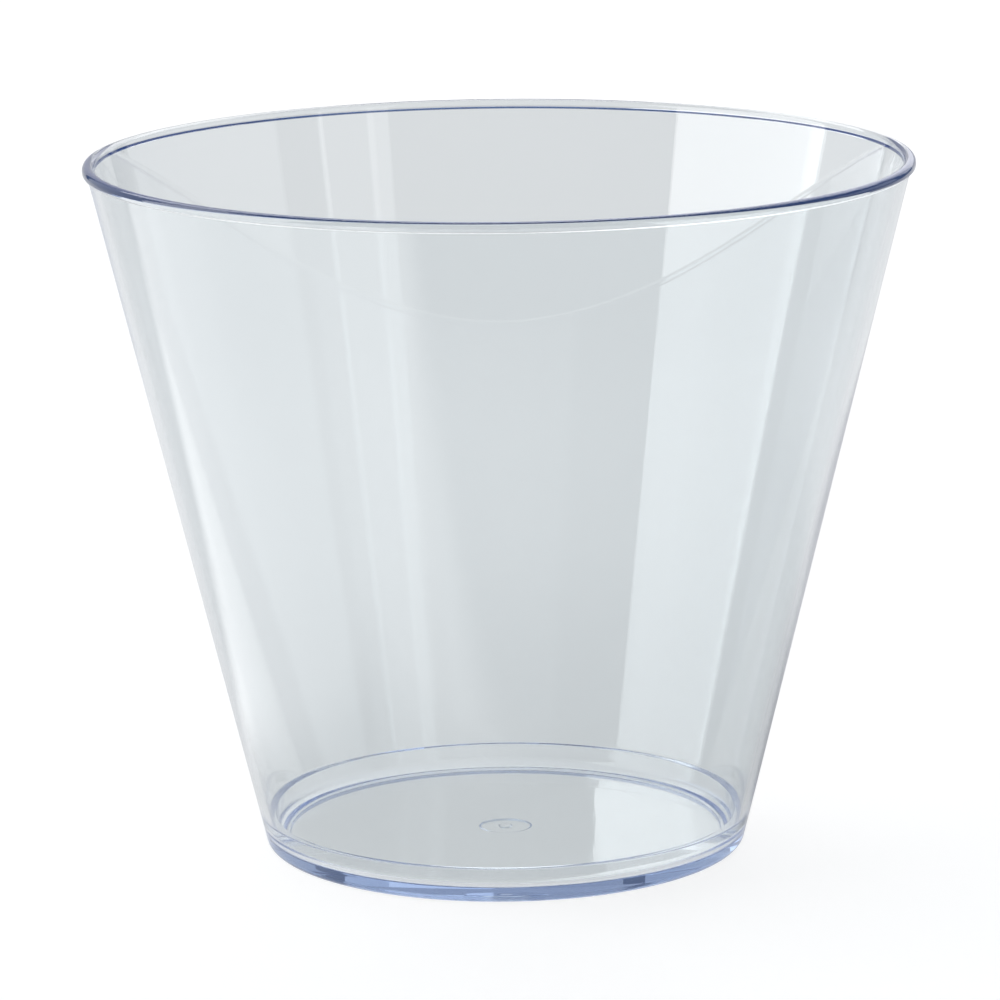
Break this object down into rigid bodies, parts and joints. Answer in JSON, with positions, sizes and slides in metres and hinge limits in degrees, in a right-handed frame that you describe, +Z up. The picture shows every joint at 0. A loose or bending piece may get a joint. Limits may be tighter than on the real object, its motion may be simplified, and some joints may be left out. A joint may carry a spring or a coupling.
{
  "type": "plastic tumbler cup",
  "caption": "Squat tapered tumbler in clear hard plastic, with a narrow outer lip, a stacking ledge inside the base, a flat floor and a low foot ring.",
  "frame": {"origin": "centre of the foot ring's contact plane, where the cup stands on a table", "axes": "+Z up along the cup's axis towards its mouth; the cup is round, so X and Y may be taken either way"},
  "size_m": [0.089, 0.089, 0.0754],
  "materials": {
    "clear_plastic": "clear, polished"
  },
  "bodies": {
    "root": {"cup": "clear_plastic"}
  },
  "joints": []
}
